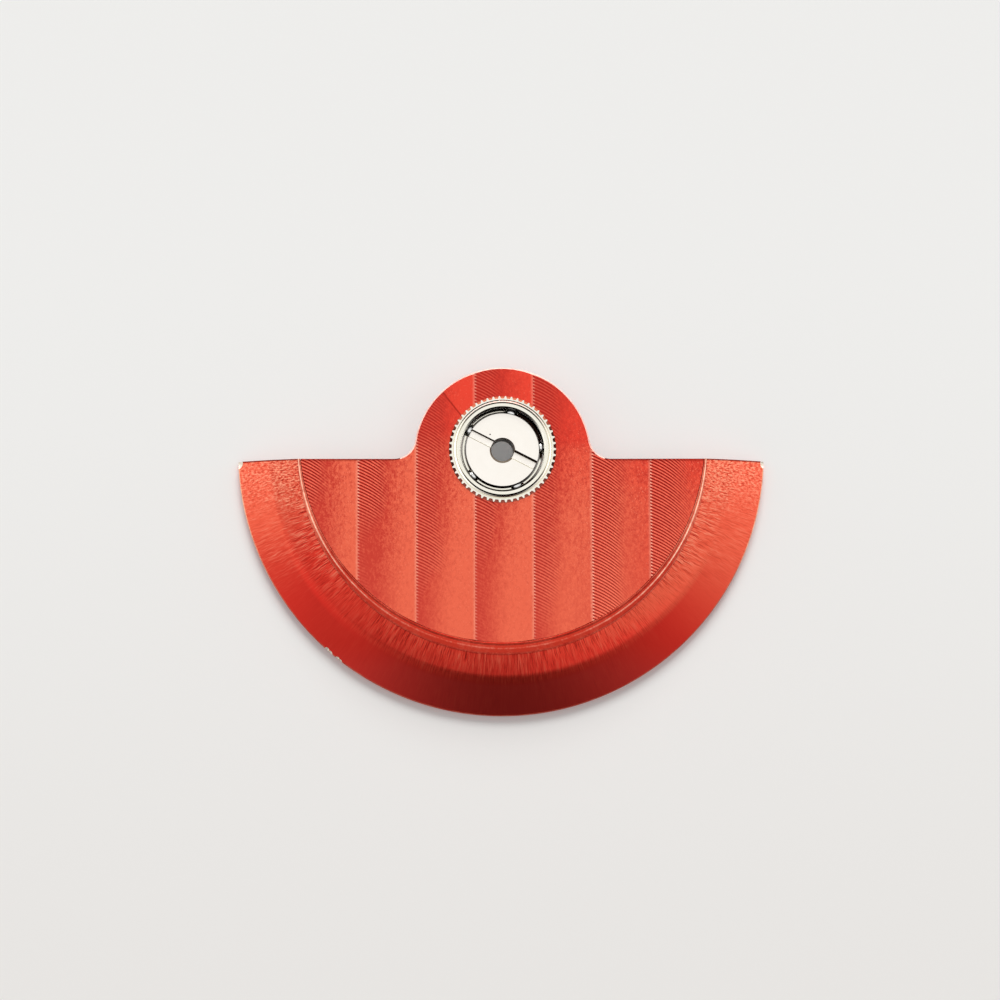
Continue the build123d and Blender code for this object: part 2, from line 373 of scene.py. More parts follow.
def plateFinish():
    look = plateLook
    made = newFinish("stripedRedLacquer")
    x, y, z = made.millimetres()
    across = (x - stripes["shift"]) / stripes["pitch"] + 0.5
    stripe = made.maths("FLOOR", across)
    share = across - stripe
    # A ramp hands each stripe its own values; its colours end at 1, so a reach of 10 mm stands as 1
    count, fullReach = len(stripeMarks), 10
    stops = [(number / count, (down / fullReach, strength, width, 1.0))
             for number, (down, strength, width) in enumerate(stripeMarks)]
    table = made.add(
        "ShaderNodeValToRGB", {"interpolation": "CONSTANT", "stops": stops}, [(stripe + count / 2) / count]
    )
    depth, strength, width = made.split("ShaderNodeSeparateColor", table)
    # Cutter marks: arcs that fall from the upper left, one above the other
    reach = share * stripes["pitch"] + look["markOffset"]
    arc = made.maths("SQRT", made.maths("MAXIMUM", look["markRadius"] ** 2 - reach * reach, 0.01))
    wave = made.maths("SINE", (y - arc) * (2 * pi / look["markGap"]))
    wander = made.noise(x, y * 0.35, stripe, 3.0, scale=0.9)
    # The marks are strongest by the left edge and fade where each stripe's own reach ends
    down = made.ease(y, -1.0, -8.5)
    lobe = made.ease(y, -0.4, 1.2)
    fade = made.ease(y + depth * fullReach, -1.6, 1.4)
    width = width * (0.45 + 0.55 * fade) + (wander - 0.5) * 0.5
    marks = strength * (0.12 + 0.88 * fade) * made.ease(share, width, width * 0.5) * (1 - 0.5 * lobe)
    grain = made.noise(x * 8, y * 5, z, 4.0, 0.65)
    fine = made.noise(x * 24, y * 15, z, 2.0, 0.6)
    rough = 1 - 0.55 * down - 0.5 * lobe
    # The stripes on the right are more even, those on the left lighten later
    right, left = made.ease(x, 1.0, 5.6), made.ease(x, -4.0, -4.6)
    along = share + 0.27 * down * (1 - 0.6 * left) + 0.22 * right - 0.04 * left
    tone = made.ease(along, 0.2, 0.98) * (1 - 0.38 * right)
    tone = tone + rough * ((grain - 0.5) * (2.7 + 0.3 * made.ease(x, -3.0, -5.0)) + (fine - 0.5) * 1.2)
    # Where the cutter slipped: a dark line across one stripe of the lobe, smooth and bright to its right
    turn = radians(look["slipTurn"])
    slipX, slipY = look["slip"]
    offLine = (y - slipY) * cos(turn) - (x - slipX) * sin(turn)
    slipped = lobe * (x > slipX - 1) * ((x < look["slipRight"]) * (y > look["slipLow"]))
    tone = made.clamp(tone + slipped * made.ease(offLine, -0.02, 0.05) * 0.3)
    # Only the top is cut: the walls and the underside are plain lacquer, of a tone between the two reds
    cut = made.ease(z, plateHigh.z - 0.07, plateHigh.z - 0.045)
    tone, marks = 0.4 + (tone - 0.4) * cut, marks * cut
    plain = made.blend(tone, made.blend(down, look["deep"], look["deepLow"]), look["bright"])
    dense = made.blend(tone, look["lobeDeep"], look["lobeBright"])
    beside = made.ease(x, 5.4, 7.8) * 0.4 + made.ease(y, -3.2, -0.6) * made.ease(x, 1.4, 2.8) * 0.45
    base = made.blend(made.clamp(lobe + beside), plain, dense)
    line = slipped * made.ease(offLine * offLine, 0.0022, 0.0006) * 0.55
    # Painted glints: pale specks on the right part of each stripe
    speck = made.ease(fine, 0.6, 0.74) * made.ease(share, 0.3, 0.8) * rough * 0.6
    base = made.blend(speck, base, look["spark"])
    lift = 0.1 - 0.15 * down
    base = made.blend(made.clamp(marks * (wave + lift) * 0.85 + line), base, look["markDark"])
    base = made.blend(made.clamp(marks * (-lift - wave) * 0.9), base, look["markLight"])
    # Painted highlights: each mark starts with a bright tick on the edge of its stripe, and the stripe's
    # right edge is pale in patches
    tick = made.ease(share, 0.045, 0.01) * made.clamp(-wave) * (0.24 + 0.6 * marks)
    tick = made.clamp((tick + made.ease(share, 0.95, 0.995) * grain * 0.38) * cut)
    base = made.blend(tick, base, look["tick"])
    # The plate is darker along the straight cut, beyond the fillets
    straight = made.ease(y, -0.62, -0.56) * made.ease(x * x, 27.0, 31.0)
    base = made.blend(straight * 0.45, base, look["markDark"])
    height = marks * wave * 0.5 + (grain - 0.5) * 0.5 + (fine - 0.5) * 0.3
    return made.surface(base, 1.0, look["roughness"] + (grain - 0.5) * 0.15, height, 0.008)


rimLook = {
    "endRed": rgb(243, 98, 72), "deepRed": rgb(238, 56, 45),
    "light": rgb(250, 112, 86), "endLight": rgb(255, 160, 128), "dark": rgb(160, 24, 18),
    "edge": rgb(110, 18, 12), "bandRed": rgb(196, 48, 38), "coolRed": rgb(238, 64, 56),
    "innerRed": rgb(254, 70, 54),
    "middle": -100.0, "deepTo": 42.0, "endFrom": 66.0,   # degrees round the axis
    "roughness": 0.33,
}


def rimFinish():
    look = rimLook
    made = newFinish("brushedRedLacquer")
    x, y, z = made.millimetres()
    radius, angle = made.polar(x, y)
    arc = angle * rimRadius
    wobble = made.noise(arc * 1.7, radius * 2.2, 6.0)
    arc = arc + (wobble - 0.5) * (0.08 + 0.1 * made.ease(y, -9.0, -4.0))
    # Brush marks run out from the axis: fine ones, broad ones and the patches where they are heavy
    fine = made.noise(arc * 14, radius * 1.3, 0.0, 2.0, 0.6)
    broad = made.noise(arc * 4.5, radius * 0.7, 4.0, 2.0, 0.55)
    worm = made.noise(arc * 12.0, radius * 6.0, 9.0, 3.0, 0.6)
    heavy = made.noise(arc * 0.45, radius * 0.5, 2.0)
    ends = made.ease(y, -4.2, -1.2)
    inner = made.ease(radius, 11.8, 11.55) * (0.45 + 0.55 * made.ease(radius, 11.6, 10.5))
    side, near = made.ease(y, -7.8, -4.6), made.ease(y, -8.0, -9.6)
    rough = made.clamp(0.08 + 0.38 * side + 0.34 * ends + inner * (0.56 + 0.2 * near)
                       + (heavy - 0.5) * (0.3 + 0.6 * inner))
    walls = made.ease(radius, 9.34, 9.5) * made.ease(radius, rimRadius - 0.01, rimRadius - 0.04)
    rough = rough * (0.15 + 0.85 * walls)
    streak = ((fine - 0.5) * (1.4 + 0.5 * inner) + (broad - 0.5) * (0.5 + 0.5 * near)) * (1 - ends * 0.35)
    # Towards the ends the marks turn into short worm-like ones
    streak = streak + (worm - 0.46) * ends * 2.9
    tone = streak * rough
    # Painted reflection: the red is deeper at the bottom and lighter towards the ends; the inner bevel is a
    # deep red further to the left, over a shorter way
    offMiddle = angle - radians(look["middle"]) + inner * radians(14.0)
    away = made.maths("ABSOLUTE", offMiddle) + inner * radians(7.0)
    away = away * (1 - 0.16 * made.ease(x, 2.0, 6.0))
    red = made.blend(
        made.ease(away, radians(look["deepTo"]), radians(look["endFrom"])),
        made.blend(inner, look["deepRed"], look["innerRed"]), look["endRed"]
    )
    # Painted shade, in deeper reds: the inner bevel left of the seam and at the middle, the outer one at the
    # lower left, and the narrow flat band below the plate
    leftInner = made.ease(x, -8.0, -10.0) * made.ease(radius, 11.78, 11.62) * 0.2
    leftOuter = made.ease(x, -6.5, -9.5) * made.ease(y, -3.0, -7.0) * made.ease(radius, 11.7, 12.0) * 0.5
    middle = made.ease(x * x, 6.0, 0.6) * inner * 0.36
    band = made.ease(z, rotorTop - 0.03, rotorTop - 0.01) * 0.9
    red = made.blend(made.clamp(leftInner + leftOuter + middle + band), red, look["bandRed"])
    # The outer bevel's nearest part is a cooler red, a painted reflection
    red = made.blend(made.ease(radius, 11.6, 11.9) * made.ease(y, -9.5, -11.5), red, look["coolRed"])
    # The brush marks' light streaks are painted paler towards the ends, as painted highlight
    base = made.blend(made.clamp(tone * 2.2), red, made.blend(side, look["light"], look["endLight"]))
    base = made.blend(made.clamp(tone * -2.1 * (1 - ends * 0.35)), base, look["dark"])
    # The rim is darker along the straight cut
    base = made.blend(made.ease(y, weightHigh.y - 0.085, weightHigh.y - 0.045) * 0.85, base, look["edge"])
    return made.surface(base, 1.0, look["roughness"] + tone * 0.2, tone, 0.012)


def shadeAndHighlightFinish(name, red, pale, paleShare, paleEnds, endFrom=-10.5, rightWearAndPaintedLight=0.0, metallic=1.0):
    # A sharp edge, band or wall in lacquer blended in patches with a paler colour, more so at the rim's ends:
    # painted highlights on the edges, and painted shade where both colours are dark
    made = newFinish(name)
    x, y, z = made.millimetres()
    patches = made.noise(x * 1.6, y * 1.6, z, 3.0, 0.65)
    specks = made.noise(x * 12, y * 12, z * 4)
    amount = paleShare + made.ease(y, endFrom, -2.0) * (paleEnds - paleShare) + made.ease(x, 3.5, 6.5) * rightWearAndPaintedLight
    share = made.clamp(((patches - 0.5) * 1.4 + (specks - 0.5)) * (0.25 + amount) + amount)
    return made.surface(made.blend(share, red, pale), metallic, 0.4 + specks * 0.1, specks, 0.004)


def bareFinish():
    made = newFinish("bareChippedMetal")
    x, y, z = made.millimetres()
    pits = made.noise(x * 14, y * 14, z * 14, 3.0)
    colour = made.blend(pits, rgb(214, 196, 168), rgb(255, 252, 244))
    return made.surface(colour, 0.6, 0.5 + pits * 0.2, pits, 0.02)


def turnedFinish(name, dark, light, roughness, markGap, depth, shadeAndReflection=(), paintedShadowArc=None):
    # Satin metal with the fine rings that a lathe leaves, and painted shade and painted reflection in its
    # grooves and gaps and on its walls
    paintedShadeBrown = rgb(26, 14, 9)
    made = newFinish(name)
    x, y, z = made.millimetres()
    radius, angle = made.polar(x, y)
    rings = made.noise(radius / markGap, z / markGap, 0.0, 2.0, 0.6)
    cloud = made.noise(radius * 2.2, angle * 1.2, z * 2, 3.0)
    base = made.blend(made.clamp(rings * 0.6 + cloud * 0.7 - 0.1), dark, light)
    for inner, outer, bottom, top, near, far, sides, *colour in shadeAndReflection:
        # Painted shade between two radii and two heights, by so much on the near side, the far side and
        # between, in its own colour where a row gives one
        within = (radius > inner) * (radius < outer) * ((z > bottom) * (z < top))
        nearPart, farPart = made.ease(y / radius, -0.3, -0.8), made.ease(y / radius, 0.3, 0.8)
        amount = sides + nearPart * (near - sides) + farPart * (far - sides)
        base = made.blend(made.clamp(within * amount), base, colour[0] if colour else paintedShadeBrown)
    if paintedShadowArc:
        # From one heading to the other the part lies in its neighbour's shade, which is painted dark
        first, last = (radians(value) for value in paintedShadowArc)
        shade = made.ease(angle, first - 0.06, first + 0.06) * made.ease(angle, last + 0.06, last - 0.06)
        base = made.blend(shade, base, paintedShadeBrown)
    return made.surface(base, 1.0, roughness + (rings - 0.5) * 0.1, rings, depth)


def dullFinish(name, far, near):
    # A worn edge that has lost its shine, painted darker on the far side than on the near side, as shade
    made = newFinish(name)
    x, y, z = made.millimetres()
    marks = made.noise(x * 20, y * 20, z * 20, 3.0)
    share = made.clamp(made.ease(y, 0.3, -0.2) + (marks - 0.5) * 0.4)
    return made.surface(made.blend(share, far, near), 0.1, 0.75 + marks * 0.1, marks, 0.002)


def ballFinish():
    made = newFinish("polishedBallSteel")
    x, y, z = made.millimetres()
    marks = made.noise(x * 6, y * 6, z * 6, 3.0)
    colour = made.blend(marks, rgb(226, 226, 224), rgb(250, 250, 248))
    return made.surface(colour, 1.0, 0.07 + marks * 0.05, marks, 0.0005)


redPlate = plateFinish()
redRim = rimFinish()
bareMetal = bareFinish()
ballSteel = ballFinish()

# Painted highlights and painted shade on edges, bands and walls: the lacquer, the paler colour, and how much
# of it shows in the middle and at the ends
seamHighlight = shadeAndHighlightFinish(
    "paintedSeamEdgeHighlight", rgb(182, 50, 36), rgb(255, 190, 158), 0.04, 0.28, endFrom=-9.5, rightWearAndPaintedLight=0.12)
ridgeHighlight = shadeAndHighlightFinish(
    "paintedSeamRidgeHighlight", rgb(196, 60, 43), rgb(255, 208, 180), 0.06, 0.85, endFrom=-9.5, rightWearAndPaintedLight=0.18)
rimEdgeHighlight = shadeAndHighlightFinish("paintedRimEdgeHighlight", rgb(178, 50, 38), rgb(255, 186, 152), 0.12, 0.95, endFrom=-9.0)
# The flat band by the seam is painted darker at the bottom and lighter at the ends, as shade and reflection,
# and its grooves are painted dark as shade
litAndShadedSeamBand = shadeAndHighlightFinish("litAndShadedSeamBand", rgb(184, 52, 37), rgb(244, 150, 122), 0.0, 0.7, endFrom=-6.0)
litAndShadedSeamGroove = shadeAndHighlightFinish("litAndShadedSeamGroove", rgb(142, 32, 24), rgb(224, 104, 78), 0.12, 0.7, endFrom=-7.0)
darkPlateEdge = shadeAndHighlightFinish("shadedPlateEdge", rgb(80, 10, 7), rgb(124, 30, 22), 0.25, 0.25)
plateEdgeHighlight = shadeAndHighlightFinish(
    "paintedPlateEdgeHighlight", rgb(240, 140, 120), rgb(255, 232, 220), 0.55, 0.55, metallic=0.4)
# Painted shade: the cut walls are darker than their lacquer, so that they throw little red light onto the
# paper
shadedCutWall = shadeAndHighlightFinish("shadedCutWall", rgb(96, 20, 15), rgb(134, 34, 26), 0.5, 0.5, metallic=0.4)

# Painted shade, and between the collar's teeth painted reflection: its inner and outer radius, lowest and
# highest place, how much of it on the near side, the far side and between, and its colour where that is
# another
shadeLow = 0.4
raceShadeAndReflection = [
    (2.0, 2.082, shadeLow, raceHigh.z - 0.06, 1.0, 1.0, 1.0),     # on the opening's wall
    (2.0, 2.148, shadeLow, raceHigh.z - 0.002, 1.0, 0.97, 0.3),   # on its chamfer
    (2.27, 2.37, shadeLow, raceHigh.z - 0.002, 1.0, 0.75, 0.1),   # in the ring's turned line
    (2.425, 2.5, shadeLow, 1.517, 0.0, 0.8, 0.0),                 # in the collar's groove
    # Between the collar's teeth: a painted reflection of the red plate, painted shade, and a lighter painted
    # reflection on the far side
    (2.54, 2.69, plateLow.z, 1.45, 0.97, 0.97, 0.97, rgb(156, 70, 54)),
    (2.54, 2.69, plateLow.z, 1.45, 0.1, 0.0, 0.85),
    (2.54, 2.69, 1.2, 1.37, 0.0, 0.95, 0.0, rgb(240, 134, 100)),
]
# Painted shade on the nut's outer wall and in its hole
nutShade = [                                                      # on the outer wall and in the hole
    (1.8, 1.9, shadeLow, nutHigh.z - 0.02, 1.0, 1.0, 0.2),
    (0.5, 0.6, shadeLow, nutHigh.z - 0.02, 0.9, 0.98, 0.85, rgb(62, 32, 22)),
]
# Painted shade in the core's bore
coreShade = [(0.5, 0.6, -0.1, coreHigh.z, 0.8, 0.9, 0.8)]         # in the bore
# Painted shade along the cage's inner and outer edges
cageShade = [(1.88, 1.935, shadeLow, 1.1, 1.0, 1.0, 0.0), (1.965, 2.03, shadeLow, 1.1, 0.0, 0.95, 0.0)]
raceSteel = turnedFinish(
    "satinNickel", rgb(236, 231, 212), rgb(255, 252, 242), 0.22, 0.03, 0.0015, raceShadeAndReflection)
nutSteel = turnedFinish(
    "paleSatinSteel", rgb(243, 236, 227), rgb(253, 249, 242), 0.34, 0.025, 0.001, nutShade)
coreSteel = turnedFinish(
    "turnedSteel", rgb(190, 186, 176), rgb(230, 227, 218), 0.3, 0.03, 0.0015, coreShade)
# The cage's top is painted dark from heading -14 to 88 degrees, as the ring's shadow
cageMetal = turnedFinish(
    "stampedCageMetal", rgb(236, 230, 210), rgb(255, 253, 242), 0.22, 0.02, 0.001, cageShade, (-14.0, 88.0))
# Painted shade for the slot's far edge and the pit on the nut
slotShade = turnedFinish("shadedSlotEdge", rgb(22, 12, 8), rgb(44, 28, 20), 0.4, 0.03, 0.001)
slotPale = dullFinish("dullSlotEdge", rgb(150, 142, 112), rgb(176, 168, 138))
# The hole's chamfer is painted dark brown on its far side, as shade
holeEdge = dullFinish("dullHoleEdge", rgb(70, 36, 24), rgb(112, 98, 82))
print("finishes made")


# Weight: a turned half ring with the rebate for the plate, two bevels and worn edges

weightSize = {
    "sides": 1440, "width": 4.0, "footChamfer": 0.08, "edgeRound": 0.05,
    "seamRadius": 10.17, "seamLift": 0.49, "seamChamfer": 0.025,
    "bevelTop": 10.28, "bevelBreak": 11.68, "innerSlope": 20.0, "outerSlope": 29.0, "outerLift": 0.115,
    "breakRound": 0.12, "topFall": 0.01, "grooveDepth": 0.008,
    # Across the flat band: share of the way from the seam to the bevel, flat or groove, and how far moved out
    "band": [(0.06, 0, 0), (0.22, 1, 0), (0.42, 0, -0.012), (0.5, 0, 0.018), (0.82, 1, 0), (0.94, 0, 0)],
}
chips = [                                       # angle, radius, height and size of each bare chip on the rim
    (-131.6, 13.36, 0.02, 0.18), (-130.6, 13.40, -0.02, 0.19), (-128.6, 13.37, 0.0, 0.17),
    (-127.9, 13.42, -0.06, 0.19), (-177.6, 13.36, 0.08, 0.3), (-2.5, 13.38, 0.05, 0.28),
]


def makeWeight():
    size = weightSize
    foot, ledge, cut = weightLow.z, plateLow.z, weightHigh.y
    chamfer, edge, lift, wall = size["footChamfer"], size["edgeRound"], size["seamLift"], size["seamRadius"]
    innerRadius, seamTop = rimRadius - size["width"], wall + size["seamChamfer"]
    innerFall, outerFall = tan(radians(size["innerSlope"])), tan(radians(size["outerSlope"]))
    breakHeight = rotorTop - (size["bevelBreak"] - size["bevelTop"]) * innerFall
    rimHeight = breakHeight - (rimRadius - size["bevelBreak"]) * outerFall
    # Where the two bevels meet, the circle is shifted and tilted, because the outer one turns off the axis
    breakShift = size["outerLift"] * outerFall / (outerFall - innerFall)
    breakTilt = -breakShift * innerFall / size["bevelBreak"]
    rimTilt = size["outerLift"] * outerFall / rimRadius

    def between(share, fall, wider=0.0):
        # A circle between the seam and the bevel: they lie close at the ends and apart at the bottom
        radius = seamTop + share * (size["bevelTop"] - seamTop) + wider
        return radius, rotorTop - fall, lift * (1 - share)

    def bandShare(place):
        # How far a place lies on the way from the seam to the bevel
        inside = fromAxis(place, lift) - seamTop
        return inside / (inside + max(size["bevelTop"] - fromAxis(place), 0.0001))

    def nearBreak(reach):
        # The two bevels meet in a soft curve
        width = size["breakRound"]
        share = max(reach, 0) / (rimRadius - edge - size["bevelBreak"])
        fall = innerFall * reach + (outerFall - innerFall) * (reach + width) ** 2 / (4 * width)
        tilt = breakTilt + (rimTilt - breakTilt) * share
        return size["bevelBreak"] + reach, breakHeight - fall, breakShift * (1 - share), tilt

    weight = turnShape("brushed_weight", size["sides"], [
        (innerRadius + chamfer, foot),
        (innerRadius, foot + chamfer),
        (innerRadius, ledge),
        (wall, ledge, lift),
        (wall, rotorTop - size["seamChamfer"], lift),
        (seamTop, rotorTop, lift),
        *[between(share, groove * size["grooveDepth"], wider) for share, groove, wider in size["band"]],
        between(1.0, size["topFall"]),
        *[nearBreak(share * size["breakRound"]) for share in (-1, -0.5, 0, 0.5, 1)],
        (rimRadius - edge, rimHeight + edge * outerFall, 0.0, rimTilt),
        (rimRadius, rimHeight - edge * 0.8, 0.0, rimTilt),
        (rimRadius, foot + chamfer),
        (rimRadius - chamfer, foot),
    ])
    sliceOff(weight, (0, cut, 0), (0, 1, 0))
    sliceOff(weight, (0, cut, foot + chamfer), (0, 1, -1))
    giveFinishes(weight, redRim, seamHighlight, rimEdgeHighlight, litAndShadedSeamBand, shadedCutWall, ridgeHighlight, litAndShadedSeamGroove)
    grooved, flat = rotorTop - size["grooveDepth"], rotorTop - 0.0008
    # Painted highlight on the seam's chamfer
    markFaces(weight, seamHighlight, lambda place, normal: place.z > rotorTop - size["seamChamfer"]
              and normal.z < 0.95 and fromAxis(place, lift) < seamTop)
    # Painted highlight on the rim's outer edge, paler at the ends
    markFaces(weight, rimEdgeHighlight, lambda place, normal: fromAxis(place) > rimRadius - edge * 0.97
              and 0.2 < normal.z < 0.8)
    # Painted shade and light on the flat band, and painted shade in its grooves
    markFaces(weight, litAndShadedSeamBand, lambda place, normal: normal.z > 0.9 and place.z > grooved
              and fromAxis(place) < size["bevelTop"] - 0.002 and fromAxis(place, lift) > seamTop)
    markFaces(weight, litAndShadedSeamGroove, lambda place, normal: normal.z > 0.9 and grooved < place.z < flat
              and (abs(bandShare(place) - 0.14) < 0.07 or abs(bandShare(place) - 0.88) < 0.05))
    # Painted highlights on the narrow raised line between the shallow grooves, and on the bevel's upper edge
    markFaces(weight, ridgeHighlight, lambda place, normal: normal.z > 0.99 and place.z > flat
              and 0.1 < bandShare(place) < 0.9)
    markFaces(weight, seamHighlight, lambda place, normal: normal.z > 0.5 and place.z > rotorTop - 0.007
              and 0.93 < bandShare(place) < 1)
    # The end walls are painted dark, as shade
    markFaces(weight, shadedCutWall, lambda place, normal: normal.y > 0.9)
    for number, chip in enumerate(chips):
        combine(weight, chipCutter(number, *chip), "DIFFERENCE", keepFinish=True)
    clean(weight)
    soften(weight, 7)
    dress(weight, redRim, "rotor", "red_weight", "weight_segment")
    return weight


def chipCutter(number, angle, radius, height, reach):
    clearSelection()
    place = (radius * cos(radians(angle)) * mm, radius * sin(radians(angle)) * mm, height * mm)
    bpy.ops.mesh.primitive_ico_sphere_add(subdivisions=3, radius=reach * mm, location=place)
    cutter = bpy.context.object
    cutter.name = "chip"
    bpy.ops.object.transform_apply()
    openEdit()
    bpy.ops.transform.vertex_random(offset=0.02 * mm, uniform=0.5, seed=number + 1)
    leaveEdit()
    giveFinishes(cutter, bareMetal)
    return cutter


weight = makeWeight()
print("weight made:", len(weight.data.polygons), "faces")


# Plate: half a disc with the round lobe, cut by the stripes

plateSize = {
    "cutLine": -0.47, "seamGap": 0.02, "seamSides": 1080, "edgeChamfer": 0.08,
    "lobeRadius": 4.44, "lobeSetback": 0.315, "lobeSides": 480, "filletRadius": 1.09, "filletSides": 240,
    "holeRadius": 2.68, "holeSides": 540,
    # The stripes: how deep, the step at the left edge, how far across they are deepest, and the drum
    "depth": 0.03, "step": 0.012, "deepest": 0.4, "drumSides": 1440, "drumLength": 30.0,
}


def makePlate():
    size = plateSize
    low, high, flat, lobeDown = plateLow.z, plateHigh.z, size["cutLine"], -size["lobeSetback"]
    lift, seamChamfer = weightSize["seamLift"], weightSize["seamChamfer"]
    wall = weightSize["seamRadius"] - size["seamGap"]
    # Every cutter and filler has its own height, so that no two ends lie in one plane
    plate = column(size["seamSides"], wall, low - 1, high + 1, (0, lift))
    plate.name = plate.data.name = "striped_plate"
    sliceOff(plate, (0, flat, 0), (0, 1, 0))
    lobe = column(size["lobeSides"], size["lobeRadius"], low - 1.2, high + 1.2, (0, lobeDown))
    combine(plate, lobe, "UNION")
    fillet = size["filletRadius"]
    filletY = flat + fillet
    filletX = sqrt((size["lobeRadius"] + fillet) ** 2 - (filletY - lobeDown) ** 2)
    for place in ((filletX, filletY), (-filletX, filletY)):
        combine(plate, filletWedge(*place, low - 0.8, high + 0.8), "UNION")
        combine(plate, column(size["filletSides"], fillet, low - 2, high + 2, place), "DIFFERENCE")
    sliceOff(plate, (0, 0, high), (0, 0, 1))
    sliceOff(plate, (0, 0, low), (0, 0, -1))

    def onTop(first, second):
        return min(first.z, second.z) > high - 0.001

    def onSeam(point, radius, margin):
        return abs(fromAxis(point, lift) - radius) < margin and point.y < flat + 0.003

    pick(plate, "EDGE", lambda a, b: onTop(a, b) and onSeam(a, wall, 0.004) and onSeam(b, wall, 0.004))
    chamferPicked(seamChamfer)
    inner = wall - seamChamfer
    pick(plate, "EDGE", lambda a, b: onTop(a, b)
         and not (onSeam(a, inner, 0.006) and onSeam(b, inner, 0.006)))
    chamferPicked(size["edgeChamfer"])
    combine(plate, column(size["holeSides"], size["holeRadius"], low - 3, high + 3), "DIFFERENCE")
    cutStripes(plate)
    giveFinishes(plate, redPlate, plateEdgeHighlight, darkPlateEdge, shadedCutWall)

    def onChamfer(place, normal):
        return place.z > high - size["edgeChamfer"] + 0.001 and 0.3 < normal.z < 0.95

    # Painted highlight on the chamfer of the outer edges
    markFaces(plate, plateEdgeHighlight, lambda place, normal: onChamfer(place, normal)
              and fromAxis(place, lift) <= wall - 0.06)
    markFaces(plate, darkPlateEdge, lambda place, normal: onChamfer(place, normal)
              and flat - 0.12 < place.y < flat + 0.02)
    # The cut wall is painted dark, as shade
    markFaces(plate, shadedCutWall, lambda place, normal: normal.y > 0.9 and abs(place.y - flat) < 0.01)
    soften(plate, 2.5)
    dress(plate, redPlate, "rotor", "red_plate", "carrier_plate")
    return plate


def filletWedge(x, y, low, high):
    # Fills the corner between the lobe and the straight edge, up to the line between the two centres
    flat, lobeDown = plateSize["cutLine"], -plateSize["lobeSetback"]
    clearSelection()
    bpy.ops.mesh.primitive_plane_add(size=1.0 * mm)
    wedge = bpy.context.object
    corners = [(0, flat - 0.2), (x, flat), (0, lobeDown), (x, y)]
    for vertex, (cornerX, cornerY) in zip(wedge.data.vertices, corners):
        vertex.co = (cornerX * mm, cornerY * mm, low * mm)
    openEdit()
    bpy.ops.mesh.extrude_region_move(TRANSFORM_OT_translate={"value": (0, 0, (high - low) * mm)})
    bpy.ops.mesh.select_all(action="SELECT")
    bpy.ops.mesh.normals_make_consistent(inside=False)
    leaveEdit()
    return wedge


def cutStripes(plate):
    # Each stripe is cut by a wide drum that lies along it, a small step down at the left edge
    size, pitch, count = plateSize, stripes["pitch"], len(stripeMarks)
    deepest = (size["deepest"] * pitch, -size["depth"])
    drumX, drumZ, drumRadius = findDrum((0, -size["step"]), deepest, (pitch, 0))
    for stripe in range(count):
        left = stripes["shift"] + (stripe - count / 2) * pitch
        place = (left + drumX, 0, rotorTop + drumZ)
        drum = rod(size["drumSides"], drumRadius, size["drumLength"], place, (pi / 2, 0, 0))
        sliceOff(drum, (left, 0, 0), (-1, 0, 0))
        sliceOff(drum, (left + pitch, 0, 0), (1, 0, 0))
        sliceOff(drum, (0, 0, rotorTop + 0.4), (0, 0, 1))
        combine(plate, drum, "DIFFERENCE")


def findDrum(*places):
    # Centre and radius of the circle that runs through three places of a stripe's section
    first, second, third = (Vector(place) for place in places)
    a, b, c = first.length_squared, second.length_squared, third.length_squared
    turn = 2 * (first.x * (second.y - third.y) + second.x * (third.y - first.y)
                + third.x * (first.y - second.y))
    x = (a * (second.y - third.y) + b * (third.y - first.y) + c * (first.y - second.y)) / turn
    z = (a * (third.x - second.x) + b * (first.x - third.x) + c * (second.x - first.x)) / turn
    return x, z, (third - Vector((x, z))).length


plate = makePlate()
print("plate made:", len(plate.data.polygons), "faces")


# Bearing: the toothed outer race, the slotted nut on its core, the cage and the balls

ballSize = {"count": 5, "radius": 0.32, "pitchRadius": 1.96, "firstAngle": 4.6, "height": 0.8, "cuts": 15}
raceSize = {
    "teeth": 54, "perTooth": 12, "root": 2.57, "gearTip": 2.8, "gearClear": 0.02, "toothChamfer": 0.02,
    "collarTip": 2.7, "collarRoot": 2.56, "collarTop": 1.52, "ring": 2.43, "ringChamfer": 0.07,
    "opening": 2.08, "openingChamfer": 0.07, "grooveDepth": 0.354, "lineWidth": 0.06, "lineDepth": 0.035,
    "fillRadius": 2.675, "fillTop": 1.36,       # the seat between the collar's teeth, sunk in the plate
}


